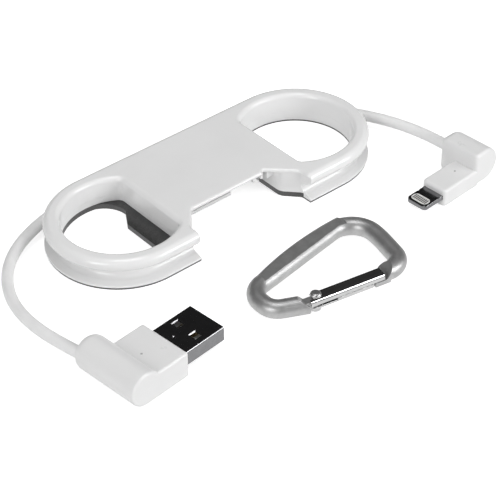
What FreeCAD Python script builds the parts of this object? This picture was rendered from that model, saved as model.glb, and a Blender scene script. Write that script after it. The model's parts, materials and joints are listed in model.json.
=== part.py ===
import FreeCAD, Part
import math
import os

from FreeCAD import Vector

# Keychain charging cable. A stadium-shaped body carries the cable in a groove round its edge,
# has a steel bottle-opener plate inlaid in its underside and an open ring at each end.
# The two leads leave the groove and end in a USB-A plug and an 8-pin phone plug.
# A spring-gate carabiner lies in front of the body.
# Frame: millimetres, +Z up, floor at z = 0, origin under the middle of the body,
# +X along the body towards the phone plug, +Y towards the back of the body.

# Body
END_X = 30.66            # centres of the two round ends
OUTER_R = 20.5           # outside radius of a round end
BODY_TOP = 9.0
BODY_UNDERSIDE = 0.47    # underside of the plastic; the brim of the steel plate lies below it
PARTING_Z = 3.4          # height where the two shells meet
RING_R = 16.0            # radius of an end opening
RING_WALL_X = 20.9       # straight wall of an end opening
RING_CORNER_R = 2.0
RING_EDGE_R = 1.3
RIM_R = 1.9              # rolled rim above the groove
GROOVE_R = 1.8           # half-round groove for the cable
GROOVE_LINE = OUTER_R - RIM_R
GROOVE_Z = PARTING_Z
FLANGE_TIP_Z = 1.1

# Pocket for the two plugs, in the front of the body
ROOF_Z = 8.1             # underside of the thin roof
ROOF_EDGE_R = 0.7
NOTCH_LEFT = -20.0
NOTCH_RIGHT = 18.2
POCKET_LEFT = -16.0
POCKET_RIGHT = 14.0
POCKET_BACK = 9.8
MOUTH_LEFT_Y = -16.5     # where the left side of the mouth starts to widen
LEFT_SHOULDER_Y = -11.6
RIGHT_SHOULDER = (-12.4, 3.5)  # y and bend radius of the right wall's inner bend
RIGHT_MOUTH = (-16.9, 1.5)     # y and bend radius of its outer bend
ROOF_LINE_Y = -10.4      # front edge of the roof
ROOF_LEFT_X = -15.0
ROOF_STEP = (9.4, 10.3, -9.2)  # small step in the roof's edge: x before, x after, y after
ROOF_RIGHT = (17.4, -16.1)
POCKET_STEP = 4.0        # where the pocket floor steps back beside the phone plug
FLOOR_Z = (0.2, 1.2)
FLOOR_FRONT = -3.6
FLOOR_FRONT_PHONE = 0.2
LINING = 1.0             # plastic lining of the plate's cut-out
FRONT = -OUTER_R - 1.0   # any line clear in front of the body
RIB_XS = (7.8, 10.5)
RIB_THICK = 0.8
RIB_FOOT_Z = 5.6
RIB_FRONT_Y = -9.0
STOP_BLOCK_X = 11.6      # small stop block beside the right wall
STOP_BLOCK_Y = (-9.8, -8.6)

# Opener plate: a thick core let into the lower shell, with a thin brim under the flange
PLATE_THICK = 1.5
PLATE_R = 17.4           # radius of the core's round ends
PLATE_GAP = 0.05
BRIM_R = 20.3            # radius of the brim's round ends
BRIM_THICK = 0.45
EYE_LAND = 1.0           # width of the brim round the right opening
TOOTH_X = -26.3
TOOTH_BACK = 3.2
TOOTH_FRONT = -9.5
EYE_CORNER_R = 7.8       # large corner beside the tooth
EYE_CORNER = (-30.8, 8.5)
EYE_LEFT = -49.0         # lines clear of the opening
EYE_FRONT = -19.0
TOOTH_SIDE = (-23.5, -12.0)
TOOTH_CORNER_R = 0.8

# Screws that hold the plate and the lower shell to the upper shell
SCREW_PLACES = ((-18.6, 12.6), (-18.6, -7.5), (17.6, 12.6), (17.6, -8.0))
SCREW_R = 0.8
SCREW_HEAD_R = 1.5
SCREW_HEAD_DEEP = 0.8
SCREW_TOP = 7.4

# Cable
CABLE_R = 1.6
CABLE_Z = 3.4
CABLE_LINE = 19.2        # radius of the cable's centre line in the groove
PIECE_GAP = 0.35         # half of the gap between two pieces of a lead
SLIDE = 7.0              # how far the cable slides round the groove when it is wound in
LEFT_PIECES = 12
LEFT_STEP = 6.365
RIGHT_PIECES = 11
RIGHT_STEP = 6.4
# A lead's path at rest: (radius, turn in degrees, left is plus), or (length, 0) for a straight
LEFT_PATH = ((CABLE_LINE, 8.5), (4.3, 0), (50.4, 19.5), (30.7, 61.3), (53.3, 13.4), (8.4, 0))
RIGHT_PATH = ((SLIDE, 0), (CABLE_LINE, -58.8), (13.3, 0), (53.8, -27.6), (6.0, 0))

# USB-A plug; its own x runs along the plug and its own y towards the cable
USB_ANGLE = 5.9
USB_PORT = (-1.1, 13.9)
USB_BARREL_R = 4.77
USB_BARREL_Y = (-7.9, 13.9)
USB_BOX_X = 13.8
USB_BOX_Y = (-7.9, 8.0)
USB_BOX_TOP = 7.6
USB_EDGE_R = 0.7
USB_BARREL_END_R = 2.6
USB_SHELL_X = (6.0, 27.5)
USB_SHELL_Y = (-6.25, 5.75)
USB_SHELL_Z = (1.55, 6.05)
USB_SHELL_WALL = 0.32
USB_WINDOW_X = (19.75, 21.65)
USB_WINDOW_W = 2.0
USB_WINDOW_YS = (-3.2, 2.9)
USB_WINDOW_BEVEL = 0.28
USB_DIMPLE = (16.4, 0.0)
USB_DIMPLE_R = 0.65
USB_DIMPLE_DEEP = 0.22
USB_TONGUE_ROOT = 15.6
USB_TONGUE_Z = (1.95, 3.85)
USB_TONGUE_TIP = 26.9

# 8-pin phone plug; the plug points along its own -x and the cable enters along its own +y
PHONE_ANGLE = 4.2
PHONE_PORT = (1.0, 6.0)
PHONE_BODY_X = -17.7
PHONE_BODY_Y = (-7.5, 0.7)
PHONE_BODY_TOP = 5.0
PHONE_BLOCK_X = -4.7
PHONE_BLOCK_R = 4.95
PHONE_BLOCK_FLAT = 4.25
PHONE_BLOCK_Y = (-7.5, 6.0)
PHONE_EDGE_R = 1.0
PHONE_LOW_EDGE_R = 0.8
PHONE_FRONT_CORNER_R = 1.1
BLADE_X = (-24.95, -13.6)
BLADE_Y = (-6.75, -0.05)
BLADE_Z = (1.75, 3.25)
BLADE_CORNER_R = 1.2
BLADE_EDGE_R = 0.35
DETENT_X = -20.2
DETENT_R = 0.45
INLAY_X = (-24.35, -21.4)
INLAY_W = 5.4
INLAY_CORNER_R = 1.2
CONTACTS = 8
CONTACT_PITCH = 0.58
CONTACT_W = 0.36
CONTACT_X = (-23.85, -21.9)
CONTACT_DEEP = 0.1

PHONE_ROOM = ((-13.6, -0.8), (-6.6, -0.3), (1.1, 4.1))  # hollow for the board
BOARD_SIZE = ((-13.5, -1.0), (-6.4, -0.5), (1.9, 2.6))
CHIP_SIZE = ((-10.5, -7.0), (-5.2, -1.9), (2.6, 3.5))

# Carabiner
BAR_R = 2.5
NOSE = (9.15, -57.0)
HEEL = (-12.7, -53.9)
# Corners of the bar's centre line from nose to heel: x, y, bend radius
BAR_CORNERS = (
    (16.6, -58.1, 5.2), (19.45, -46.3, 30.0), (20.9, -34.4, 7.0), (-21.3, -41.0, 5.6), (-21.3, -49.7, 4.4),
)
SPINE_FLAT_Z = 4.55      # flat top of the long straight bar
SPINE_SWELL = 0.9        # how far the flattened spine swells outwards
SPINE_ENDS = (5.5, 4.5)  # how far from each bend's corner the swelling starts
SPINE_EDGE_R = 1.4
SPINE_ROOM = ((-16.5, 15.5), (-45, -25), (SPINE_FLAT_Z, 6))
# Slanting end faces of the bar, as x, z points in the gate's frame
HEEL_FACET = ((-4.9, 5.0), (-2.3, 2.3), (0, 2.3), (0, 6), (-4.9, 6))
NOSE_FACET = ((19.7, 1.6), (22.9, 5.0), (22.9, 6), (17, 6), (17, 1.6))
FACET_WIDTH = (-4.0, 4.0)

# Gate, drawn with its x from the pivot to the nose and y towards the spine
PIVOT = (-10.37, -53.95)
GATE_ANGLE = -10.5
GATE_X = (-2.4, 19.5)
GATE_Y = (-2.05, 1.4)
GATE_Z = (0.75, 4.4)
GATE_WALL = 0.4
GATE_OUTER_BEND = 1.1
GATE_INNER_BEND = 0.6
GATE_SEAM_Z = (2.45, 2.6)  # seam along the outer side, where the folded edges meet
GATE_EAR_X = -1.3        # start of the gate's lower half
GATE_INNER_X = 0.6       # start of its inner side
GATE_LIP_Y = -1.2        # behind the pivot only the outer shoulder goes on, out to this line
GATE_PANEL_X = (5.4, 16.2)  # the part of the outer side that is closed below the seam
TONGUE_ROOT_X = -4.6
TONGUE_Y = (-1.3, 0.85)
TONGUE_Z = (1.4, 3.75)
TONGUE_END_R = 1.25
TAB = ((16.9, 21.5), (-1.95, -0.95), (0.9, 2.2))
RIVET_R = 0.6
RIVET_HEAD_R = 1.5
RIVET_TOP = 5.2
SPRING_X = (1.8, 7.4)
SPRING_Y = -0.3
SPRING_R = 0.85
SPRING_WIRE_R = 0.2
SPRING_PITCH = 0.8


def box(x, y, z):
    """Block between pairs of limits."""
    size = (x[1] - x[0], y[1] - y[0], z[1] - z[0])
    return Part.makeBox(*size, Vector(x[0], y[0], z[0]))


def cylinder(radius, start, end):
    """Round bar between two points."""
    axis = Vector(*end) - Vector(*start)
    return Part.makeCylinder(radius, axis.Length, Vector(*start), axis)


def fuse(shapes):
    """One solid from touching ones."""
    joined = shapes[0].multiFuse(list(shapes[1:])) if len(shapes) > 1 else shapes[0]
    return joined.removeSplitter()


def rounded_wire(corners, z=0.0):
    """Closed outline through corners given as x, y, corner radius."""
    count = len(corners)
    bends = []
    for i in range(count):
        here = Vector(corners[i][0], corners[i][1], z)
        back = Vector(corners[i - 1][0], corners[i - 1][1], z) - here
        ahead = Vector(corners[(i + 1) % count][0], corners[(i + 1) % count][1], z) - here
        radius = corners[i][2]
        if radius == 0:
            bends.append((here, None, here))
            continue
        half = back.getAngle(ahead) / 2
        back.normalize()
        ahead.normalize()
        reach = radius / math.tan(half)
        middle = (back + ahead).normalize()
        inside = here + middle * (radius / math.sin(half) - radius)
        bends.append((here + back * reach, inside, here + ahead * reach))
    edges = []
    for i in range(count):
        start, inside, end = bends[i]
        if inside is not None:
            edges.append(Part.Arc(start, inside, end).toShape())
        following = bends[(i + 1) % count][0]
        if (following - end).Length > 1e-6:
            edges.append(Part.makeLine(end, following))
    return Part.Wire(edges)


def slab(corners, z):
    """Flat plate with a rounded outline between two heights."""
    face = Part.Face(rounded_wire(corners, z[0]))
    return face.extrude(Vector(0, 0, z[1] - z[0]))


def round_edges(shape, radius, chosen):
    """Fillet the edges that a test picks."""
    edges = [edge for edge in shape.Edges if chosen(edge)]
    return shape.makeFillet(radius, edges)


def placed(shape, angle, x, y):
    """Copy turned about Z and then moved."""
    copy = shape.copy()
    copy.rotate(Vector(0, 0, 0), Vector(0, 0, 1), angle)
    copy.translate(Vector(x, y, 0))
    return copy


def path_point(start, heading, pieces, distance):
    """Point at a distance along a path of arcs and straights."""
    x, y = start
    direction = math.radians(heading)
    for size, turn in pieces:
        length = size if turn == 0 else size * math.radians(abs(turn))
        part = min(length, distance)
        if turn == 0:
            x += part * math.cos(direction)
            y += part * math.sin(direction)
        else:
            radius = math.copysign(size, turn)
            after = direction + part / radius
            x += radius * (math.sin(after) - math.sin(direction))
            y -= radius * (math.cos(after) - math.cos(direction))
            direction = after
        distance -= part
    return x, y


def hinge_points(start, heading, pieces, step, count):
    """Points on a path that are one straight step from each other."""
    points = [start]
    reached = 0.0
    for _ in range(count):
        low = reached + step
        high = low + 1.0
        for _ in range(50):
            middle = (low + high) / 2
            if math.dist(points[-1], path_point(start, heading, pieces, middle)) < step:
                low = middle
            else:
                high = middle
        reached = low
        points.append(path_point(start, heading, pieces, low))
    return points


LEFT_POINTS = hinge_points((-END_X, CABLE_LINE), 180, LEFT_PATH, LEFT_STEP, LEFT_PIECES)
RIGHT_POINTS = hinge_points((END_X - SLIDE, CABLE_LINE), 0, RIGHT_PATH, RIGHT_STEP, RIGHT_PIECES)


def stadium(section):
    """Solid whose edge follows the body outline; section points are (distance from spine, z) edges."""
    front = section.copy()
    front.translate(Vector(END_X, 0, 0))
    back = section.copy()
    back.rotate(Vector(0, 0, 0), Vector(0, 0, 1), 180)
    back.translate(Vector(-END_X, 0, 0))
    pieces = [
        front.revolve(Vector(END_X, 0, 0), Vector(0, 0, 1), 180),
        back.revolve(Vector(-END_X, 0, 0), Vector(0, 0, 1), 180),
        front.extrude(Vector(-2 * END_X, 0, 0)),
        back.extrude(Vector(2 * END_X, 0, 0)),
    ]
    return fuse(pieces)


def section_point(distance, z):
    """Point of a body section, drawn on the front side."""
    return Vector(0, -distance, z)


def stadium_plate(radius, z):
    """Flat stadium-shaped plate between two heights."""
    points = [section_point(0, z[0]), section_point(radius, z[0])]
    points += [section_point(radius, z[1]), section_point(0, z[1])]
    return stadium(Part.Face(Part.makePolygon(points + points[:1])))


def groove_point(angle):
    """Point on the groove's half circle; 0 is its bottom, 180 its top."""
    turn = math.radians(angle)
    return section_point(GROOVE_LINE - GROOVE_R * math.sin(turn), GROOVE_Z - GROOVE_R * math.cos(turn))


def upper_section():
    """Rim and upper half of the groove."""
    rim_z = BODY_TOP - RIM_R
    meeting = groove_point(180)
    top = section_point(GROOVE_LINE, BODY_TOP)
    edges = [
        Part.makeLine(section_point(0, PARTING_Z), groove_point(90)),
        Part.Arc(groove_point(90), groove_point(135), meeting).toShape(),
        Part.Arc(meeting, section_point(OUTER_R, rim_z), top).toShape(),
        Part.makeLine(top, section_point(0, BODY_TOP)),
        Part.makeLine(section_point(0, BODY_TOP), section_point(0, PARTING_Z)),
    ]
    return Part.Face(Part.Wire(edges))


def lower_section():
    """Lower half of the groove and the flange under it."""
    tip_r = (FLANGE_TIP_Z - BODY_UNDERSIDE) / 2
    tip_line = OUTER_R - tip_r
    tip_middle = section_point(OUTER_R, BODY_UNDERSIDE + tip_r)
    tip_top = section_point(tip_line, FLANGE_TIP_Z)
    tip_bottom = section_point(tip_line, BODY_UNDERSIDE)
    edges = [
        Part.makeLine(section_point(0, PARTING_Z), groove_point(90)),
        Part.Arc(groove_point(90), groove_point(45), groove_point(0)).toShape(),
        Part.makeLine(groove_point(0), tip_top),
        Part.Arc(tip_top, tip_middle, tip_bottom).toShape(),
        Part.makeLine(tip_bottom, section_point(0, BODY_UNDERSIDE)),
        Part.makeLine(section_point(0, BODY_UNDERSIDE), section_point(0, PARTING_Z)),
    ]
    return Part.Face(Part.Wire(edges))


def end_opening(side, z, margin=0.0):
    """D-shaped opening of one end; side is -1 for the opener end and 1 for the other."""
    radius = RING_R + margin
    disc = Part.makeCylinder(radius, z[1] - z[0], Vector(side * END_X, 0, z[0]))
    beyond = 2 * END_X
    half = side * (RING_WALL_X - margin)
    limits = sorted((half, side * beyond))
    hole = disc.common(box(limits, (-radius, radius), z))

    def is_corner(edge):
        upright = abs(edge.Vertexes[0].Z - edge.Vertexes[-1].Z) > 0.1
        return upright and all(abs(v.X - half) < 0.01 for v in edge.Vertexes)

    return round_edges(hole, RING_CORNER_R, is_corner)


def roof_notch(z):
    """Opening of the pocket seen from above."""
    corners = [
        (NOTCH_LEFT, FRONT, 0), (NOTCH_LEFT, MOUTH_LEFT_Y, 0.8), (ROOF_LEFT_X, ROOF_LINE_Y, 1.5),
        (ROOF_STEP[0], ROOF_LINE_Y, 0.5), (ROOF_STEP[1], ROOF_STEP[2], 0.8),
        (ROOF_RIGHT[0], ROOF_RIGHT[1], 2.0), (NOTCH_RIGHT, FRONT, 0),
    ]
    return slab(corners, z)


def pocket(z, left=POCKET_LEFT, right=POCKET_RIGHT, back=POCKET_BACK):
    """Hollow for the two plugs, open to the front."""
    corners = [
        (NOTCH_LEFT, FRONT, 0), (NOTCH_LEFT, MOUTH_LEFT_Y, 0.8), (left, LEFT_SHOULDER_Y, 0),
        (left, back, 0.8), (right, back, 0.8), (right, *RIGHT_SHOULDER),
        (NOTCH_RIGHT, *RIGHT_MOUTH), (NOTCH_RIGHT, FRONT, 0),
    ]
    return slab(corners, z)


def on_opening_rim(edge):
    """True for the top edges of the two end openings."""
    level = all(abs(v.Z - BODY_TOP) < 0.01 for v in edge.Vertexes)
    middle = edge.BoundBox.Center
    near = math.hypot(abs(middle.x) - END_X, middle.y) < RING_R + 0.5
    return level and near and abs(middle.x) > RING_WALL_X - 0.1


def on_roof_edge(edge):
    """True for the top edges of the notch, down the rolled rim on both sides."""
    limits = edge.BoundBox
    inside = NOTCH_LEFT - 0.1 < limits.XMin and limits.XMax < NOTCH_RIGHT + 0.1
    level = limits.ZMin > BODY_TOP - 0.01 and limits.YMin > -GROOVE_LINE - 0.1
    outside = limits.YMax < -GROOVE_LINE + 0.1
    rolled = outside and limits.ZLength > 1.0 and limits.ZMin > PARTING_Z + GROOVE_R - 0.1
    return inside and limits.YMax < ROOF_STEP[2] + 0.2 and (level or rolled)


def top_shell():
    """Upper shell: rolled rim, thin roof over the pocket and the upper walls of the openings."""
    shell = stadium(upper_section())
    whole = (PARTING_Z - 0.1, BODY_TOP + 1.0)
    for side in (-1, 1):
        shell = shell.cut(end_opening(side, whole))
    shell = round_edges(shell, RING_EDGE_R, on_opening_rim)
    shell = shell.cut(roof_notch(whole))
    shell = round_edges(shell, ROOF_EDGE_R, on_roof_edge)
    shell = shell.cut(pocket((PARTING_Z - 0.1, ROOF_Z)))
    for x, y in SCREW_PLACES:
        shell = shell.cut(cylinder(SCREW_R, (x, y, PARTING_Z - 0.1), (x, y, SCREW_TOP)))
    ribs = []
    for x in RIB_XS:
        across = (x - RIB_THICK / 2, x + RIB_THICK / 2)
        ribs.append(box(across, (RIB_FRONT_Y, POCKET_BACK), (RIB_FOOT_Z, ROOF_Z)))
    ribs.append(box((STOP_BLOCK_X, POCKET_RIGHT), STOP_BLOCK_Y, (RIB_FOOT_Z, ROOF_Z)))
    return fuse([shell] + ribs)


def plate_core(gap):
    """Thick middle of the steel plate, grown by a gap for the recess that takes it."""
    core = stadium_plate(PLATE_R + gap, (0, PLATE_THICK + gap))
    return core.cut(end_opening(1, (-0.1, PLATE_THICK + 0.1), EYE_LAND - gap))


def bottom_shell():
    """Lower shell: lower half of the groove, flange, and the pocket's floor and lining."""
    shell = stadium(lower_section())
    whole = (BODY_UNDERSIDE - 0.1, PARTING_Z + 0.1)
    shell = shell.cut(plate_core(PLATE_GAP))
    for side in (-1, 1):
        shell = shell.cut(end_opening(side, whole))
    shell = shell.cut(pocket(whole))
    lined = (POCKET_LEFT - LINING, POCKET_RIGHT + LINING)
    floor = box(lined, (FLOOR_FRONT, POCKET_BACK + LINING), (FLOOR_Z[0], PLATE_THICK + 0.2))
    hollow = ((POCKET_LEFT, POCKET_RIGHT), (FLOOR_FRONT, POCKET_BACK), (FLOOR_Z[1], PARTING_Z))
    floor = floor.cut(box(*hollow))
    step = ((POCKET_STEP, POCKET_RIGHT), (FLOOR_FRONT, FLOOR_FRONT_PHONE), (0, PARTING_Z))
    floor = floor.cut(box(*step))
    shell = fuse([shell, floor])
    for x, y in SCREW_PLACES:
        shell = shell.cut(cylinder(SCREW_R, (x, y, 0), (x, y, PARTING_Z + 0.1)))
    return shell


def plate_eye():
    """Opening of the plate under the left ring, with the opener tooth left standing in it."""
    z = (-0.1, PLATE_THICK + 0.1)
    eye = end_opening(-1, z)
    reach = EYE_CORNER_R
    keep_x = EYE_CORNER[0] + reach
    keep_y = EYE_CORNER[1] + reach
    corners = [
        (TOOTH_X, TOOTH_FRONT, TOOTH_CORNER_R), (TOOTH_X, TOOTH_BACK, TOOTH_CORNER_R),
        (keep_x, EYE_CORNER[1], 0), (keep_x, keep_y, reach), (EYE_LEFT, keep_y, 0),
        (EYE_LEFT, EYE_FRONT, 0), (TOOTH_SIDE[0], EYE_FRONT, 0), (*TOOTH_SIDE, TOOTH_CORNER_R),
    ]
    return eye.common(slab(corners, z))


def opener_plate():
    """Steel plate inlaid in the underside; its tooth lifts bottle caps."""
    plate = fuse([plate_core(0.0), stadium_plate(BRIM_R, (0, BRIM_THICK))])
    whole = (-0.1, PLATE_THICK + 0.1)
    plate = plate.cut(plate_eye())
    plate = plate.cut(end_opening(1, whole))
    plate = plate.cut(pocket(whole))
    gap = LINING + PLATE_GAP
    across = (POCKET_LEFT - gap, POCKET_RIGHT + gap)
    plate = plate.cut(box(across, (FLOOR_FRONT - PLATE_GAP, POCKET_BACK + gap), whole))
    for x, y in SCREW_PLACES:
        plate = plate.cut(cylinder(SCREW_R + 0.1, (x, y, -0.1), (x, y, PLATE_THICK + 0.1)))
        seat = cylinder(SCREW_HEAD_R + 0.05, (x, y, -0.1), (x, y, SCREW_HEAD_DEEP))
        plate = plate.cut(seat)
    return plate


def plate_screws():
    """Four pan-head screws, driven from below, with cross recesses."""
    screws = []
    for x, y in SCREW_PLACES:
        head = cylinder(SCREW_HEAD_R, (x, y, 0.1), (x, y, SCREW_HEAD_DEEP))
        shank = cylinder(SCREW_R, (x, y, SCREW_HEAD_DEEP), (x, y, SCREW_TOP - 0.2))
        screw = fuse([head, shank])
        for half_x, half_y in ((0.9, 0.17), (0.17, 0.9)):
            slot = box((x - half_x, x + half_x), (y - half_y, y + half_y), (0, 0.45))
            screw = screw.cut(slot)
        screws.append(screw)
    return Part.makeCompound(screws)


def lead_piece(start, end):
    """Straight piece of a lead between two hinge points, short of both."""
    along = Vector(end[0] - start[0], end[1] - start[1], 0).normalize() * PIECE_GAP
    first = (start[0] + along.x, start[1] + along.y, CABLE_Z)
    last = (end[0] - along.x, end[1] - along.y, CABLE_Z)
    return cylinder(CABLE_R, first, last)


def in_usb_frame(shape):
    """Place a USB plug part with its cable port at the end of the left lead."""
    turn = math.radians(USB_ANGLE)
    port_x = USB_PORT[0] * math.cos(turn) - USB_PORT[1] * math.sin(turn)
    port_y = USB_PORT[0] * math.sin(turn) + USB_PORT[1] * math.cos(turn)
    x, y = LEFT_POINTS[-1]
    return placed(shape, USB_ANGLE, x - port_x, y - port_y)


def in_phone_frame(shape):
    """Place a phone plug part with its cable port at the end of the right lead."""
    turn = math.radians(PHONE_ANGLE)
    port_x = PHONE_PORT[0] * math.cos(turn) - PHONE_PORT[1] * math.sin(turn)
    port_y = PHONE_PORT[0] * math.sin(turn) + PHONE_PORT[1] * math.cos(turn)
    x, y = RIGHT_POINTS[-1]
    return placed(shape, PHONE_ANGLE, x - port_x, y - port_y)


def usb_housing():
    """Moulded grip: a round barrel along the cable and a box that holds the metal shell."""
    barrel = cylinder(USB_BARREL_R, (0, USB_BARREL_Y[0], USB_BARREL_R), (0, USB_BARREL_Y[1], USB_BARREL_R))

    def at_cable_end(edge):
        return edge.BoundBox.YMin > USB_BARREL_Y[1] - 0.01

    def at_free_end(edge):
        return edge.BoundBox.YMax < USB_BARREL_Y[0] + 0.01

    barrel = round_edges(barrel, USB_BARREL_END_R, at_cable_end)
    barrel = round_edges(barrel, USB_EDGE_R, at_free_end)
    grip = box((0, USB_BOX_X), USB_BOX_Y, (0, USB_BOX_TOP))

    def outer_edge(edge):
        return edge.BoundBox.XMax > USB_BOX_X - 0.01 or edge.BoundBox.XLength > USB_BOX_X - 0.1

    grip = round_edges(grip, USB_EDGE_R, outer_edge)
    housing = fuse([barrel, grip])
    gap = 0.03
    room_x = (3.0, USB_BOX_X + 1.0)
    room_y = (USB_SHELL_Y[0] - gap, USB_SHELL_Y[1] + gap)
    room_z = (USB_SHELL_Z[0] - gap, USB_SHELL_Z[1] + gap)
    return housing.cut(box(room_x, room_y, room_z))


def usb_shell():
    """Folded steel shell with two latch windows above and two below."""
    outer = box(USB_SHELL_X, USB_SHELL_Y, USB_SHELL_Z)

    def lengthwise(edge):
        return edge.BoundBox.XLength > 1.0

    outer = round_edges(outer, 0.5, lengthwise)
    wall = USB_SHELL_WALL
    inside_y = (USB_SHELL_Y[0] + wall, USB_SHELL_Y[1] - wall)
    inside_z = (USB_SHELL_Z[0] + wall, USB_SHELL_Z[1] - wall)
    beyond = (USB_SHELL_X[0] - 1, USB_SHELL_X[1] + 1)
    shell = outer.cut(box(beyond, inside_y, inside_z))
    for y in USB_WINDOW_YS:
        across = (y - USB_WINDOW_W / 2, y + USB_WINDOW_W / 2)
        shell = shell.cut(box(USB_WINDOW_X, across, (0, 10)))

    def window_rim(edge):
        limits = edge.BoundBox
        on_top = limits.ZMin > USB_SHELL_Z[1] - 0.01
        on_bottom = limits.ZMax < USB_SHELL_Z[0] + 0.01
        near = USB_WINDOW_X[0] - 0.1 < limits.XMin and limits.XMax < USB_WINDOW_X[1] + 0.1
        return near and (on_top or on_bottom)

    rims = [edge for edge in shell.Edges if window_rim(edge)]
    shell = shell.makeChamfer(USB_WINDOW_BEVEL, rims)
    ball_r = (USB_DIMPLE_R ** 2 + USB_DIMPLE_DEEP ** 2) / (2 * USB_DIMPLE_DEEP)
    ball = Part.makeSphere(ball_r, Vector(*USB_DIMPLE, USB_SHELL_Z[1] - USB_DIMPLE_DEEP + ball_r))
    return shell.cut(ball)


def usb_tongue():
    """Insulating block inside the shell with the contact tongue in front of it."""
    gap = 0.02
    wall = USB_SHELL_WALL + gap
    inside_y = (USB_SHELL_Y[0] + wall, USB_SHELL_Y[1] - wall)
    inside_z = (USB_SHELL_Z[0] + wall, USB_SHELL_Z[1] - wall)
    base = box((USB_SHELL_X[0] + 0.5, USB_TONGUE_ROOT), inside_y, inside_z)
    tongue = box((USB_TONGUE_ROOT, USB_TONGUE_TIP), inside_y, USB_TONGUE_Z)
    return fuse([base, tongue])


def usb_contacts():
    """Four spring contacts lying on the tongue; the outer two reach further forward."""
    strips = []
    top = USB_TONGUE_Z[1]
    middle = (USB_SHELL_Y[0] + USB_SHELL_Y[1]) / 2
    for offset, tip in ((-3.5, 26.4), (-1.0, 25.4), (1.0, 25.4), (3.5, 26.4)):
        across = (middle + offset - 0.5, middle + offset + 0.5)
        strips.append(box((USB_TONGUE_ROOT + 0.1, tip), across, (top, top + 0.2)))
    return Part.makeCompound(strips)


def usb_inner_mould():
    """Soft inner moulding behind the shell that seals the soldered wires."""
    gap = 0.1
    across = (USB_SHELL_Y[0] + gap, USB_SHELL_Y[1] - gap)
    return box((3.1, USB_SHELL_X[0] - gap), across, (USB_SHELL_Z[0] + gap, USB_SHELL_Z[1] - gap))


def phone_housing():
    """Moulded grip: a low box towards the plug and a tall rounded block along the cable."""
    low = box((PHONE_BODY_X, PHONE_BLOCK_X + 1), PHONE_BODY_Y, (0, PHONE_BODY_TOP))

    def front_corner(edge):
        return edge.BoundBox.ZLength > 1.0 and edge.BoundBox.XMax < PHONE_BODY_X + 0.1

    low = round_edges(low, PHONE_FRONT_CORNER_R, front_corner)

    def top_rim(edge):
        return edge.BoundBox.ZMin > PHONE_BODY_TOP - 0.01 and edge.BoundBox.XMin < PHONE_BLOCK_X + 0.9

    low = round_edges(low, PHONE_LOW_EDGE_R, top_rim)
    top = 2 * PHONE_BLOCK_R
    round_x = PHONE_BLOCK_X + PHONE_BLOCK_FLAT
    start = PHONE_BLOCK_Y[0]
    flat_low = Vector(round_x, start, 0)
    flat_high = Vector(round_x, start, top)
    nose = Vector(round_x + PHONE_BLOCK_R, start, PHONE_BLOCK_R)
    corner_high = Vector(PHONE_BLOCK_X, start, top)
    corner_low = Vector(PHONE_BLOCK_X, start, 0)
    outline = Part.Wire([
        Part.Arc(flat_low, nose, flat_high).toShape(),
        Part.makeLine(flat_high, corner_high),
        Part.makeLine(corner_high, corner_low),
        Part.makeLine(corner_low, flat_low),
    ])
    block = Part.Face(outline).extrude(Vector(0, PHONE_BLOCK_Y[1] - start, 0))

    def at_cable_end(edge):
        return edge.BoundBox.YMin > PHONE_BLOCK_Y[1] - 0.01

    def at_plug_side(edge):
        long_top = edge.BoundBox.YLength > 2 and edge.BoundBox.XMax < PHONE_BLOCK_X + 0.1
        return edge.BoundBox.YMax < start + 0.01 or (long_top and edge.BoundBox.ZMin > top - 0.1)

    block = round_edges(block, 2.2, at_cable_end)
    block = round_edges(block, PHONE_EDGE_R, at_plug_side)
    housing = fuse([low, block])
    gap = 0.03
    slot_y = (BLADE_Y[0] - gap, BLADE_Y[1] + gap)
    slot = box((PHONE_BODY_X - 1, BLADE_X[1] + gap), slot_y, (BLADE_Z[0] - gap, BLADE_Z[1] + gap))
    return housing.cut(slot).cut(box(*PHONE_ROOM))


def inlay_corners(inset=0.0):
    """Oval outline of the insulating inlay in the blade."""
    middle = (BLADE_Y[0] + BLADE_Y[1]) / 2
    half = INLAY_W / 2 - inset
    low_x = INLAY_X[0] + inset
    high_x = INLAY_X[1] - inset
    bend = INLAY_CORNER_R - inset
    return [
        (low_x, middle - half, bend), (high_x, middle - half, bend),
        (high_x, middle + half, bend), (low_x, middle + half, bend),
    ]


def phone_blade():
    """Steel blade with a rounded tip, a through opening for the inlay and a detent in each edge."""
    corners = [
        (BLADE_X[0], BLADE_Y[0], BLADE_CORNER_R), (BLADE_X[1], BLADE_Y[0], 0),
        (BLADE_X[1], BLADE_Y[1], 0), (BLADE_X[0], BLADE_Y[1], BLADE_CORNER_R),
    ]
    blade = slab(corners, BLADE_Z)

    def outer_rim(edge):
        limits = edge.BoundBox
        return limits.ZLength < 0.01 and limits.XMin < BLADE_X[1] - 0.01

    blade = round_edges(blade, BLADE_EDGE_R, outer_rim)
    blade = blade.cut(slab(inlay_corners(), (0, 5)))
    for y in BLADE_Y:
        blade = blade.cut(cylinder(DETENT_R, (DETENT_X, y, 0), (DETENT_X, y, 5)))
    return blade


def contact_strips(side_z, height):
    """One row of contact strips; side_z is the strips' lower face."""
    middle = (BLADE_Y[0] + BLADE_Y[1]) / 2
    strips = []
    for i in range(CONTACTS):
        y = middle + (i - (CONTACTS - 1) / 2) * CONTACT_PITCH
        across = (y - CONTACT_W / 2, y + CONTACT_W / 2)
        strips.append(box(CONTACT_X, across, (side_z, side_z + height)))
    return strips


def phone_contacts():
    """Eight contacts on each face of the inlay."""
    upper = contact_strips(BLADE_Z[1] - CONTACT_DEEP, CONTACT_DEEP)
    lower = contact_strips(BLADE_Z[0], CONTACT_DEEP)
    return Part.makeCompound(upper + lower)


def phone_inlay():
    """White insulating inlay that carries the contacts."""
    inlay = slab(inlay_corners(0.02), BLADE_Z)
    return inlay.cut(phone_contacts())


def phone_board():
    """Small circuit board behind the blade."""
    return box(*BOARD_SIZE)


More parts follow.
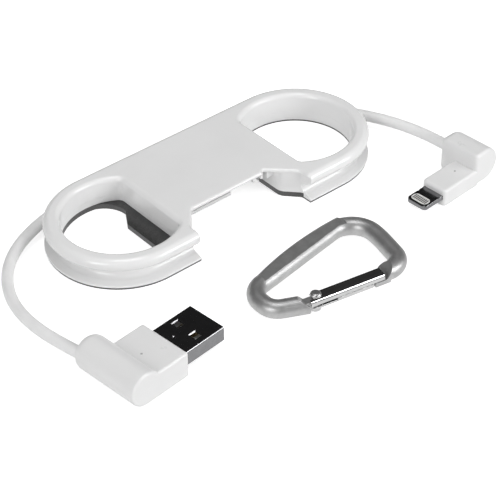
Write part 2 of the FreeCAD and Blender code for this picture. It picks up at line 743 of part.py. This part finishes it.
def phone_chip():
    """Identification chip on the board."""
    return box(*CHIP_SIZE)


def bar_path():
    """Centre line of the carabiner bar from its nose to its heel."""
    corners = [(NOSE[0], NOSE[1], 0)] + list(BAR_CORNERS) + [(HEEL[0], HEEL[1], 0)]
    closed = rounded_wire(corners, BAR_R)
    ends = (Vector(NOSE[0], NOSE[1], BAR_R), Vector(HEEL[0], HEEL[1], BAR_R))

    def is_gap(edge):
        points = [v.Point for v in edge.Vertexes]
        return all(min((p - end).Length for end in ends) < 1e-3 for p in points)

    return Part.Wire(Part.__sortEdges__([edge for edge in closed.Edges if not is_gap(edge)]))


def in_gate_frame(shape):
    """Place a part drawn with x along the gate from its pivot."""
    return placed(shape, GATE_ANGLE, *PIVOT)


def wedge(points, y):
    """Block with a side view given as x, z points, between two values of y."""
    outline = [Vector(x, y[0], z) for x, z in points]
    face = Part.Face(Part.makePolygon(outline + outline[:1]))
    return face.extrude(Vector(0, y[1] - y[0], 0))


def spine_swell():
    """Outward swelling of the flattened spine, along the straight between two bends."""
    first = Vector(*BAR_CORNERS[2][:2], 0)
    last = Vector(*BAR_CORNERS[3][:2], 0)
    along = (last - first).normalize()
    outward = Vector(along.y, -along.x, 0)
    start = first + along * SPINE_ENDS[0]
    end = last - along * SPINE_ENDS[1]
    edge = outward * (BAR_R - 0.4)
    middle = (start + end) / 2 + outward * (BAR_R + SPINE_SWELL)
    outline = Part.Wire([
        Part.makeLine(end, start),
        Part.makeLine(start, start + edge),
        Part.Arc(start + edge, middle, end + edge).toShape(),
        Part.makeLine(end + edge, end),
    ])
    lift = Vector(0, 0, 2 * BAR_R - SPINE_FLAT_Z)
    height = SPINE_FLAT_Z - lift.z
    swell = Part.Face(outline).extrude(Vector(0, 0, height))
    swell.translate(lift)

    def outer_rim(side):
        return side.BoundBox.ZLength < 0.01 and side.Curve.TypeId == "Part::GeomCircle"

    return round_edges(swell, SPINE_EDGE_R, outer_rim)


def carabiner_frame():
    """Bent round bar with a flattened spine, a tongue for the pivot and a tab that stops the gate."""
    start = Vector(NOSE[0], NOSE[1], BAR_R)
    second = Vector(BAR_CORNERS[0][0], BAR_CORNERS[0][1], BAR_R)
    circle = Part.Circle(start, (second - start).normalize(), BAR_R).toShape()
    bar = bar_path().makePipeShell([Part.Wire(circle)], True, True)
    bar = bar.fuse(spine_swell())
    bar = bar.cut(box(*SPINE_ROOM))
    for facet in (HEEL_FACET, NOSE_FACET):
        bar = bar.cut(in_gate_frame(wedge(facet, FACET_WIDTH)))
    end = cylinder(TONGUE_END_R, (0, 0, TONGUE_Z[0]), (0, 0, TONGUE_Z[1]))
    end = end.common(box((-TONGUE_END_R, TONGUE_END_R), TONGUE_Y, TONGUE_Z))
    tongue = fuse([box((TONGUE_ROOT_X, 0), TONGUE_Y, TONGUE_Z), end])
    tongue = tongue.cut(cylinder(RIVET_R + 0.05, (0, 0, 0), (0, 0, 6)))
    return fuse([bar, in_gate_frame(tongue), in_gate_frame(box(*TAB))])


def along_gate(corners, x):
    """Bar along the gate with a section given as y, z, corner radius."""
    bar = slab(corners, x)
    bar.rotate(Vector(0, 0, 0), Vector(1, 1, 1), 120)
    return bar


def gate_tube(inset, x):
    """Solid bar with the gate's rounded section, drawn in by an inset."""
    low_y, high_y = GATE_Y[0] + inset, GATE_Y[1] - inset
    low_z, high_z = GATE_Z[0] + inset, GATE_Z[1] - inset
    outer_bend = GATE_OUTER_BEND - inset
    inner_bend = GATE_INNER_BEND - inset
    corners = [
        (low_y, low_z, outer_bend), (high_y, low_z, inner_bend),
        (high_y, high_z, inner_bend), (low_y, high_z, outer_bend),
    ]
    return along_gate(corners, x)


def carabiner_gate():
    """Folded tube with a seam on its outer side, cut away there at both ends for the tongue and the tab."""
    gate = gate_tube(0.0, GATE_X)
    gate = gate.cut(gate_tube(GATE_WALL, (GATE_X[0] - 1, GATE_X[1] + 1)))
    outer_wall = (GATE_Y[0] - 1, GATE_Y[0] + GATE_WALL + 0.05)
    below = (0, GATE_SEAM_Z[1])
    gate = gate.cut(box((GATE_X[0] - 1, GATE_X[1] + 1), outer_wall, GATE_SEAM_Z))
    gate = gate.cut(box((GATE_X[0] - 1, GATE_PANEL_X[0]), outer_wall, below))
    past_tab = (GATE_Y[0] - 1, TAB[1][1] + 0.1)
    gate = gate.cut(box((GATE_PANEL_X[1], GATE_X[1] + 1), past_tab, below))
    gate = gate.cut(box((GATE_X[0] - 1, GATE_EAR_X), (GATE_Y[0] - 1, GATE_Y[1] + 1), below))
    gate = gate.cut(box((GATE_X[0] - 1, GATE_EAR_X), (GATE_LIP_Y, GATE_Y[1] + 1), (0, 6)))
    inner_wall = (GATE_Y[1] - GATE_WALL - 0.05, GATE_Y[1] + 1)
    between = (GATE_Z[0] + GATE_WALL, GATE_Z[1] - GATE_WALL)
    gate = gate.cut(box((GATE_X[0] - 1, GATE_INNER_X), inner_wall, between))
    gate = gate.cut(cylinder(RIVET_R, (0, 0, 0), (0, 0, 6)))
    return in_gate_frame(gate)


def gate_rivet():
    """Pivot rivet with a low head below and a domed head above."""
    pin = cylinder(RIVET_R, (0, 0, GATE_Z[0]), (0, 0, GATE_Z[1]))
    foot = cylinder(RIVET_HEAD_R, (0, 0, 0), (0, 0, GATE_Z[0]))
    rise = RIVET_TOP - GATE_Z[1]
    head = cylinder(RIVET_HEAD_R, (0, 0, GATE_Z[1]), (0, 0, RIVET_TOP))

    def top_edge(edge):
        return edge.BoundBox.ZMin > RIVET_TOP - 0.01

    head = round_edges(head, rise * 0.9, top_edge)
    return in_gate_frame(fuse([pin, foot, head]))


def gate_spring():
    """Small coil spring inside the gate channel that keeps the gate shut."""
    length = SPRING_X[1] - SPRING_X[0]
    helix = Part.makeHelix(SPRING_PITCH, length, SPRING_R)
    wire = Part.Wire(helix.Edges)
    circle = Part.Circle(Vector(SPRING_R, 0, 0), Vector(0, 1, 0), SPRING_WIRE_R).toShape()
    spring = wire.makePipeShell([Part.Wire(circle)], True, True)
    spring.rotate(Vector(0, 0, 0), Vector(0, 1, 0), 90)
    spring.translate(Vector(SPRING_X[0], SPRING_Y, (GATE_Z[0] + GATE_Z[1]) / 2))
    return in_gate_frame(spring)


def lead_nodes(name, points):
    """Named pieces of one lead, counted from the body."""
    nodes = {}
    for i in range(len(points) - 1):
        nodes["%s_%02d" % (name, i + 1)] = lead_piece(points[i], points[i + 1])
    return nodes


def build():
    """All sub-parts by name."""
    nodes = {
        "top_shell": top_shell(),
        "bottom_shell": bottom_shell(),
        "opener_plate": opener_plate(),
        "plate_screws": plate_screws(),
        "cable_middle": lead_piece(LEFT_POINTS[0], RIGHT_POINTS[0]),
        "usb_housing": in_usb_frame(usb_housing()),
        "usb_shell": in_usb_frame(usb_shell()),
        "usb_tongue": in_usb_frame(usb_tongue()),
        "usb_contacts": in_usb_frame(usb_contacts()),
        "usb_inner_mould": in_usb_frame(usb_inner_mould()),
        "phone_housing": in_phone_frame(phone_housing()),
        "phone_blade": in_phone_frame(phone_blade()),
        "phone_inlay": in_phone_frame(phone_inlay()),
        "phone_contacts": in_phone_frame(phone_contacts()),
        "phone_board": in_phone_frame(phone_board()),
        "phone_chip": in_phone_frame(phone_chip()),
        "carabiner_frame": carabiner_frame(),
        "carabiner_gate": carabiner_gate(),
        "gate_rivet": gate_rivet(),
        "gate_spring": gate_spring(),
    }
    nodes.update(lead_nodes("usb_lead", LEFT_POINTS))
    nodes.update(lead_nodes("phone_lead", RIGHT_POINTS))
    return nodes


os.makedirs("parts", exist_ok=True)
for node, shape in build().items():
    shape.exportStep("parts/%s.step" % node)
    print(node, "solids", len(shape.Solids), "valid", shape.isValid(), "volume", round(shape.Volume, 2))
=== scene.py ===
import json
import math

import bmesh
import bpy
from mathutils import Matrix, Vector

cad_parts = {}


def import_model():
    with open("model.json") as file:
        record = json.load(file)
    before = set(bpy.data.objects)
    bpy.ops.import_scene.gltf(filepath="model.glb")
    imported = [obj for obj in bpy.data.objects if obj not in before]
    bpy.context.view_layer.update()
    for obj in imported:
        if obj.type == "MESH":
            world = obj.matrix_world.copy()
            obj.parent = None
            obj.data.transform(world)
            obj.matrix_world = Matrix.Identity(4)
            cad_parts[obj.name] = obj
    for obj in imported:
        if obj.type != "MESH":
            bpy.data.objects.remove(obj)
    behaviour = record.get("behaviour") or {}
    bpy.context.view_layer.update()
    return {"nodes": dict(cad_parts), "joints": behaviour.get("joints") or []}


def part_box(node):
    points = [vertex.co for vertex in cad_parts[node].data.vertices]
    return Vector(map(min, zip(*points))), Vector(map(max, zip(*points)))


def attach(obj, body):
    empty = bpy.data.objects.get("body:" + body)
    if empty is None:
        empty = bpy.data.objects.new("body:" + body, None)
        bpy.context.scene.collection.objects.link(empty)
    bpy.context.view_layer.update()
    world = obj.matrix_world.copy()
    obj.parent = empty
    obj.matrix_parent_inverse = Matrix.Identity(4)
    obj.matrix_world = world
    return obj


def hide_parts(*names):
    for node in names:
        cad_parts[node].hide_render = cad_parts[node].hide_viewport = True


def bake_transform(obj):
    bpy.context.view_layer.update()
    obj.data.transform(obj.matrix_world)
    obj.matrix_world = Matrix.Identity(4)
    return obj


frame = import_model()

# Looks of a keychain charging cable with a bottle opener and a loose carabiner.
# Lengths are in metres and angles in radians, unless a comment says otherwise.

MM = 0.001
JOINTS = {joint["name"]: joint for joint in frame["joints"]}

# How far the metal of each plug is turned from +X, about the vertical
USB_TURN = math.radians(5.9)
PHONE_TURN = math.radians(4.2)

# How far the fine grain on the gate is turned from +X
GATE_GRAIN_TURN = math.radians(-8.0)

# Noise spans that are stretched to full contrast
NARROW = (0.35, 0.65)
WIDE = (0.3, 0.7)

# Cable skin
CABLE_LOW, CABLE_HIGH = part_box("cable_middle")
CABLE_R = (CABLE_HIGH[2] - CABLE_LOW[2]) / 2
CABLE_SIDES = 28
STEPS_PER_BEND = 14
PORT_DEPTH = 1.2 * MM        # how far the skin runs on past a plug's hinge, into its grip

# Moulding marks on the two grips; their grey is painted shade of small hollows
GATE_MARK_R = 0.32 * MM
GATE_MARK_SIDES = 20
GATE_MARK_RINGS = (
    # share of the radius, height over the grip's face
    (1.0, -0.06 * MM),
    (0.85, 0.05 * MM),
    (0.45, 0.12 * MM),
)
GATE_MARKS = (
    # name, metal part in the grip, its turn, distance from its middle along and across it, body
    ("usb_gate_mark", "usb_shell", USB_TURN, -11.0 * MM, 0.25 * MM, "usb_plug"),
    ("phone_gate_mark", "phone_blade", PHONE_TURN, 10.67 * MM, 0.23 * MM, "phone_plug"),
)

# Camera, in front of the object, to its left and above it
CAMERA_PLACE = Vector((-0.2462, -0.3088, 0.2943))
CAMERA_TARGET = Vector((-0.0076, -0.0252, 0.0))
CAMERA_ROLL = math.radians(-0.55)
CAMERA_LENS = 129.6          # millimetres
CAMERA_SENSOR = 36.0         # millimetres

# Stage and light
FLOOR_SIZE = 6.0
FLOOR_GAP = 0.05 * MM        # keeps the floor off the faces that lie on it
FLOOR_GLOW = 0.62            # the floor's own light, for the camera only
WORLD_GREY = 0.38            # light of the surroundings on matt faces
MIRRORED_ABOVE = 0.03        # what polished faces mirror from above
MIRRORED_BELOW = 0.85        # what polished faces mirror from below
MIRRORED_FADE = (-0.35, 0.15)    # rise of a mirrored ray, from fully below to fully above
SOFTBOXES = (
    # name, place, size, power in watts; each is aimed at the origin
    ("overhead", (-0.02, -0.04, 0.60), (0.20, 0.20), 0.85),
    ("front_right", (0.42, -0.72, 0.36), (0.5, 0.35), 3.9),
    ("front_left", (-0.80, -0.30, 0.36), (0.4, 0.35), 2.6),
)


# ---------------------------------------------------------------- materials

class Shader:
    """Builds one node material round its Principled surface."""

    BEVEL_SAMPLES = 6

    def __init__(self, name):
        self.material = bpy.data.materials.new(name)
        self.material.use_nodes = True
        self.tree = self.material.node_tree
        self.surface = self.tree.nodes["Principled BSDF"]

    def node(self, kind, **values):
        """New node with some of its properties or inputs set by name."""
        made = self.tree.nodes.new(kind)
        for key, value in values.items():
            if hasattr(made, key):
                setattr(made, key, value)
            else:
                made.inputs[key.replace("_", " ")].default_value = value
        return made

    def link(self, source, target):
        """Join an output socket to an input socket."""
        self.tree.links.new(source, target)

    def set(self, **values):
        """Set inputs of the surface; an underscore stands for a space."""
        for key, value in values.items():
            self.surface.inputs[key.replace("_", " ")].default_value = value

    def position(self):
        """Place in the part's frame, in metres."""
        return self.node("ShaderNodeTexCoord").outputs["Object"]

    def noise(self, scale, detail, rough=0.55, stretch=None):
        """Noise between 0 and 1; scale is in features per metre, stretch is (scales, turns)."""
        noise = self.node("ShaderNodeTexNoise", Scale=scale, Detail=detail, Roughness=rough)
        place = self.position()
        if stretch:
            mapping = self.node("ShaderNodeMapping", Scale=stretch[0], Rotation=stretch[1])
            self.link(place, mapping.inputs["Vector"])
            place = mapping.outputs["Vector"]
        self.link(place, noise.inputs["Vector"])
        return noise.outputs["Fac"]

    def ramp(self, value, low, high, span=(0.0, 1.0)):
        """Value stretched from its span to low..high, clamped."""
        ramp = self.node("ShaderNodeMapRange")
        limits = (*span, low, high)
        for key, limit in zip(("From Min", "From Max", "To Min", "To Max"), limits):
            ramp.inputs[key].default_value = limit
        self.link(value, ramp.inputs["Value"])
        return ramp.outputs["Result"]

    def cloudy_colour(self, noise, span, darker, lighter):
        """Base colour between two tones, after the noise."""
        mix = self.node("ShaderNodeMix", data_type="RGBA")
        mix.inputs["A"].default_value = (*darker, 1.0)
        mix.inputs["B"].default_value = (*lighter, 1.0)
        self.link(self.ramp(noise, 0.0, 1.0, span), mix.inputs["Factor"])
        self.link(mix.outputs["Result"], self.surface.inputs["Base Color"])

    def uneven_gloss(self, noise, low, high):
        """Roughness between low and high, after the noise."""
        self.link(self.ramp(noise, low, high, WIDE), self.surface.inputs["Roughness"])

    def bump(self, height, strength, distance, edge=0.0):
        """Bump from a height, over rounded edges when edge is a radius."""
        bump = self.node("ShaderNodeBump", Strength=strength, Distance=distance)
        self.link(height, bump.inputs["Height"])
        if edge:
            bevel = self.node("ShaderNodeBevel", samples=self.BEVEL_SAMPLES, Radius=edge)
            self.link(bevel.outputs["Normal"], bump.inputs["Normal"])
        self.link(bump.outputs["Normal"], self.surface.inputs["Normal"])


def darkened(colour, share):
    """The colour at a share of its brightness."""
    return tuple(channel * share for channel in colour)


def moulded_plastic(name, colour, roughness, grain):
    """Glossy white moulding with faint flow marks and orange peel."""
    shader = Shader(name)
    flow_marks = shader.noise(scale=55.0, detail=4.0)
    shader.cloudy_colour(flow_marks, NARROW, darkened(colour, 0.975), colour)
    smudges = shader.noise(scale=140.0, detail=5.0, rough=0.6)
    shader.uneven_gloss(smudges, roughness * 0.85, roughness * 1.25)
    shader.set(Subsurface_Weight=0.12, Subsurface_Scale=2.0 * MM, Subsurface_Radius=(1.0, 1.0, 1.0))
    shader.set(Specular_IOR_Level=0.5, Coat_Weight=0.15, Coat_Roughness=0.12)
    orange_peel = shader.noise(scale=2600.0, detail=2.0)
    shader.bump(orange_peel, strength=grain, distance=0.1 * MM, edge=0.12 * MM)
    return shader.material


def silicone(name, darker, lighter):
    """Satin silicone jacket with a fine drawn texture."""
    shader = Shader(name)
    shader.cloudy_colour(shader.noise(scale=160.0, detail=4.0), NARROW, darker, lighter)
    shader.uneven_gloss(shader.noise(scale=420.0, detail=4.0), 0.34, 0.5)
    shader.set(Subsurface_Weight=0.15, Subsurface_Scale=1.5 * MM, Subsurface_Radius=(1.0, 1.0, 1.0))
    shader.set(Sheen_Weight=0.08)
    drawn_texture = shader.noise(scale=3800.0, detail=3.0)
    shader.bump(drawn_texture, strength=0.12, distance=0.08 * MM)
    return shader.material


def plated_steel(name, colour, roughness, grain_turn=0.0, mottle=0.3):
    """Rolled and plated sheet steel, with a fine grain along one direction."""
    shader = Shader(name)
    shader.set(Metallic=1.0)
    wear = shader.noise(scale=260.0, detail=6.0, rough=0.65)
    shader.cloudy_colour(wear, WIDE, darkened(colour, 0.82), colour)
    drawn_out = ((1.0, 9.0, 9.0), (0.0, 0.0, -grain_turn))
    grain = shader.noise(scale=900.0, detail=3.0, rough=0.5, stretch=drawn_out)
    shader.uneven_gloss(grain, roughness * (1 - mottle), roughness * (1 + mottle))
    shader.bump(grain, strength=0.08, distance=0.05 * MM, edge=0.08 * MM)
    return shader.material


def tumbled_aluminium(name, darker, lighter):
    """Bead-finished aluminium bar: satin, with a fine speckle."""
    shader = Shader(name)
    shader.set(Metallic=0.88)
    shader.cloudy_colour(shader.noise(scale=380.0, detail=6.0, rough=0.7), WIDE, darker, lighter)
    speckle = shader.noise(scale=5200.0, detail=2.0, rough=0.6)
    shader.uneven_gloss(speckle, 0.42, 0.52)
    shader.bump(speckle, strength=0.22, distance=0.06 * MM, edge=0.1 * MM)
    return shader.material


def plain_part(name, colour, roughness, metallic=0.0):
    """Small inner part: near-even colour, slightly uneven gloss."""
    shader = Shader(name)
    shader.set(Metallic=metallic)
    cloud = shader.noise(scale=900.0, detail=4.0)
    shader.cloudy_colour(cloud, WIDE, darkened(colour, 0.8), colour)
    shader.uneven_gloss(cloud, roughness * 0.8, roughness * 1.2)
    shader.bump(cloud, strength=0.1, distance=0.05 * MM)
    return shader.material


WHITE = moulded_plastic("white_moulding", (0.83, 0.83, 0.83), 0.17, 0.025)
GRIP = moulded_plastic("grip_moulding", (0.80, 0.80, 0.80), 0.32, 0.04)
SILICONE = silicone("cable_jacket", (0.80, 0.80, 0.80), (0.85, 0.85, 0.85))
STEEL = plated_steel("opener_steel", (0.14, 0.14, 0.14), 0.34)
SHELL = plated_steel("plug_shell_steel", (0.33, 0.33, 0.34), 0.16, USB_TURN, 0.4)
BLADE = plated_steel("blade_steel", (0.30, 0.30, 0.31), 0.20, PHONE_TURN)
POLISHED = plated_steel("gate_steel", (0.80, 0.80, 0.80), 0.12, GATE_GRAIN_TURN, 0.4)
RIVET = plated_steel("rivet_steel", (0.75, 0.75, 0.75), 0.42)
SCREW = plated_steel("screw_steel", (0.45, 0.45, 0.46), 0.22)
ALUMINIUM = tumbled_aluminium("bar_aluminium", (0.52, 0.52, 0.52), (0.66, 0.66, 0.66))
INSULATOR = plain_part("white_insulator", (0.82, 0.82, 0.80), 0.4)
GOLD = plain_part("contact_gold", (0.70, 0.58, 0.34), 0.25, metallic=1.0)
DARK_CONTACT = plain_part("contact_grey", (0.05, 0.05, 0.05), 0.4)
BOARD = plain_part("board_green", (0.02, 0.16, 0.07), 0.35)
CHIP = plain_part("chip_black", (0.02, 0.02, 0.02), 0.5)
# Painted shade: mid grey for the moulding marks, standing in for the shade inside their small
# hollows
MARK_PAINTED_SHADE = plain_part("mark_grey", (0.42, 0.42, 0.42), 0.5)

NODE_MATERIALS = {
    "top_shell": WHITE, "bottom_shell": WHITE, "opener_plate": STEEL, "plate_screws": SCREW,
    "usb_housing": GRIP, "usb_shell": SHELL, "usb_tongue": INSULATOR, "usb_contacts": GOLD,
    "usb_inner_mould": INSULATOR, "phone_housing": GRIP, "phone_blade": BLADE,
    "phone_inlay": INSULATOR, "phone_contacts": DARK_CONTACT, "phone_board": BOARD,
    "phone_chip": CHIP, "carabiner_frame": ALUMINIUM, "carabiner_gate": POLISHED,
    "gate_rivet": RIVET, "gate_spring": SCREW,
}


def paint(obj, material):
    """Give an object one material."""
    obj.data.materials.clear()
    obj.data.materials.append(material)


for node_name, node_material in NODE_MATERIALS.items():
    paint(frame["nodes"][node_name], node_material)


# ---------------------------------------------------------------- cable skin

def joint_place(name):
    """A point on the axis of a joint, at rest."""
    return Vector(JOINTS[name]["pos_m"])


def new_piece(name, mesh_builder, material):
    """Object from a finished bmesh, smooth shaded and in one material."""
    mesh = bpy.data.meshes.new(name)
    mesh_builder.to_mesh(mesh)
    mesh_builder.free()
    for polygon in mesh.polygons:
        polygon.use_smooth = True
    obj = bpy.data.objects.new(name, mesh)
    bpy.context.scene.collection.objects.link(obj)
    paint(obj, material)
    return obj


def join_rings(build, rings):
    """Faces between each ring of vertices and the next one."""
    for first, second in zip(rings, rings[1:]):
        for k in range(len(first)):
            following = (k + 1) % len(first)
            build.faces.new((first[k], first[following], second[following], second[k]))


def tube(points):
    """Open tube of the cable's thickness through points that lie at one height."""
    build = bmesh.new()
    rings = []
    for i, point in enumerate(points):
        before = points[max(i - 1, 0)]
        after = points[min(i + 1, len(points) - 1)]
        along = (after - before).normalized()
        across = Vector((-along.y, along.x, 0))
        ring = []
        for k in range(CABLE_SIDES):
            turn = 2 * math.pi * k / CABLE_SIDES
            outward = math.cos(turn) * across + math.sin(turn) * Vector((0, 0, 1))
            ring.append(build.verts.new(point + CABLE_R * outward))
        rings.append(ring)
    join_rings(build, rings)
    bmesh.ops.recalc_face_normals(build, faces=build.faces)
    return build


def bend_points(start, corner, end):
    """Smooth curve from start to end that leans towards the corner."""
    points = []
    for i in range(STEPS_PER_BEND + 1):
        t = i / STEPS_PER_BEND
        points.append((1 - t) ** 2 * start + 2 * t * (1 - t) * corner + t * t * end)
    return points


def lead_skin(side):
    """Skin of one lead: a tube that curves round every hinge as it stands at rest, from the groove
    to the plug.

    Returns the place in the groove where the skin starts, half a step before the first hinge.
    """
    count = sum(name.startswith("%s_lead_" % side) for name in JOINTS)
    hinges = [joint_place("%s_lead_%02d_bend" % (side, i + 1)) for i in range(count)]
    hinges.append(joint_place("%s_plug_bend" % side))
    step = (hinges[1] - hinges[0]).length
    inward = Vector((1, 0, 0)) if side == "usb" else Vector((-1, 0, 0))
    start = hinges[0] + inward * step / 2
    before = start
    for i, hinge in enumerate(hinges):
        last = i == count
        if last:
            along = (hinge - hinges[i - 1]).normalized()
            after = hinge + along * PORT_DEPTH
        else:
            after = (hinge + hinges[i + 1]) / 2
        name = "%s_cable_skin_%02d" % (side, i + 1)
        piece = new_piece(name, tube(bend_points(before, hinge, after)), SILICONE)
        child = "%s_plug" % side if last else "%s_lead_%02d" % (side, i + 1)
        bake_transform(piece)
        if not last:
            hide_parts(child)
        before = after
    return start


def cable_skins():
    """Both leads, and the straight stretch in the back groove between them."""
    left_end = lead_skin("usb")
    right_end = lead_skin("phone")
    piece = new_piece("cable_middle_skin", tube((left_end, right_end)), SILICONE)
    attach(piece, "cable_middle")
    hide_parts("cable_middle")


cable_skins()


# ---------------------------------------------------------------- moulding marks

def gate_mark(name, metal, turn, along, across, body):
    """Shallow round mark left where the plastic was let into the mould.

    The flat part of the grip lies on the floor and holds the metal part at half its height. The
    mark's grey is painted shade, standing in for the shade of a small hollow.
    """
    low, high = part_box(metal)
    middle = (Vector(low) + Vector(high)) / 2
    centre = middle + Matrix.Rotation(turn, 3, "Z") @ Vector((along, across, middle.z))
    build = bmesh.new()
    rings = []
    for share, height in GATE_MARK_RINGS:
        ring = []
        for k in range(GATE_MARK_SIDES):
            angle = 2 * math.pi * k / GATE_MARK_SIDES
            outward = Vector((math.cos(angle), math.sin(angle), 0)) * GATE_MARK_R * share
            ring.append(build.verts.new(centre + outward + Vector((0, 0, height))))
        rings.append(ring)
    join_rings(build, rings)
    build.faces.new(rings[-1])
    piece = new_piece(name, build, MARK_PAINTED_SHADE)
    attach(piece, body)


for mark in GATE_MARKS:
    gate_mark(*mark)


# ---------------------------------------------------------------- stage, light and camera

def floor_white():
    """Pale matt white that glows for the camera only."""
    shader = Shader("floor_white")
    shader.set(Base_Color=(0.85, 0.85, 0.85, 1), Roughness=0.9, Specular_IOR_Level=0.0)
    shader.set(Emission_Color=(1, 1, 1, 1))
    path = shader.node("ShaderNodeLightPath")
    glow = shader.ramp(path.outputs["Is Camera Ray"], 0.0, FLOOR_GLOW)
    shader.link(glow, shader.surface.inputs["Emission Strength"])
    return shader.material


def floor():
    """Plain pale floor that polished faces do not mirror."""
    build = bmesh.new()
    bmesh.ops.create_grid(build, x_segments=1, y_segments=1, size=FLOOR_SIZE / 2)
    obj = new_piece("floor", build, floor_white())
    obj.visible_glossy = False
    obj.location.z = -FLOOR_GAP


def softbox(name, place, size, power):
    """Rectangular soft light aimed at the origin."""
    data = bpy.data.lights.new(name, "AREA")
    data.shape = "RECTANGLE"
    data.size, data.size_y = size
    data.energy = power
    obj = bpy.data.objects.new(name, data)
    obj.location = place
    obj.rotation_euler = (-Vector(place)).to_track_quat("-Z", "Y").to_euler()
    bpy.context.scene.collection.objects.link(obj)


def world():
    """Even dim surroundings; mirrored in metal they are dark above and pale below."""
    surroundings = bpy.data.worlds.new("surroundings")
    surroundings.use_nodes = True
    tree = surroundings.node_tree
    place = tree.nodes.new("ShaderNodeTexCoord")
    split = tree.nodes.new("ShaderNodeSeparateXYZ")
    height = tree.nodes.new("ShaderNodeMapRange")
    height.interpolation_type = "SMOOTHSTEP"
    limits = (*MIRRORED_FADE, MIRRORED_BELOW, MIRRORED_ABOVE)
    for key, limit in zip(("From Min", "From Max", "To Min", "To Max"), limits):
        height.inputs[key].default_value = limit
    path = tree.nodes.new("ShaderNodeLightPath")
    choice = tree.nodes.new("ShaderNodeMix")
    choice.inputs["A"].default_value = WORLD_GREY
    tree.links.new(place.outputs["Generated"], split.inputs["Vector"])
    tree.links.new(split.outputs["Z"], height.inputs["Value"])
    tree.links.new(path.outputs["Is Glossy Ray"], choice.inputs["Factor"])
    tree.links.new(height.outputs["Result"], choice.inputs["B"])
    tree.links.new(choice.outputs["Result"], tree.nodes["Background"].inputs["Strength"])
    tree.nodes["Background"].inputs["Color"].default_value = (1, 1, 1, 1)
    bpy.context.scene.world = surroundings


def camera():
    """Long-lens camera that looks down on the object from its front left."""
    data = bpy.data.cameras.new("camera")
    data.lens = CAMERA_LENS
    data.sensor_width = CAMERA_SENSOR
    obj = bpy.data.objects.new("camera", data)
    look = (CAMERA_TARGET - CAMERA_PLACE).to_track_quat("-Z", "Y").to_matrix().to_4x4()
    obj.matrix_world = Matrix.Translation(CAMERA_PLACE) @ look @ Matrix.Rotation(CAMERA_ROLL, 4, "Z")
    bpy.context.scene.collection.objects.link(obj)
    bpy.context.scene.camera = obj


floor()
world()
for light in SOFTBOXES:
    softbox(*light)
bpy.context.scene.view_settings.view_transform = "Standard"
camera()
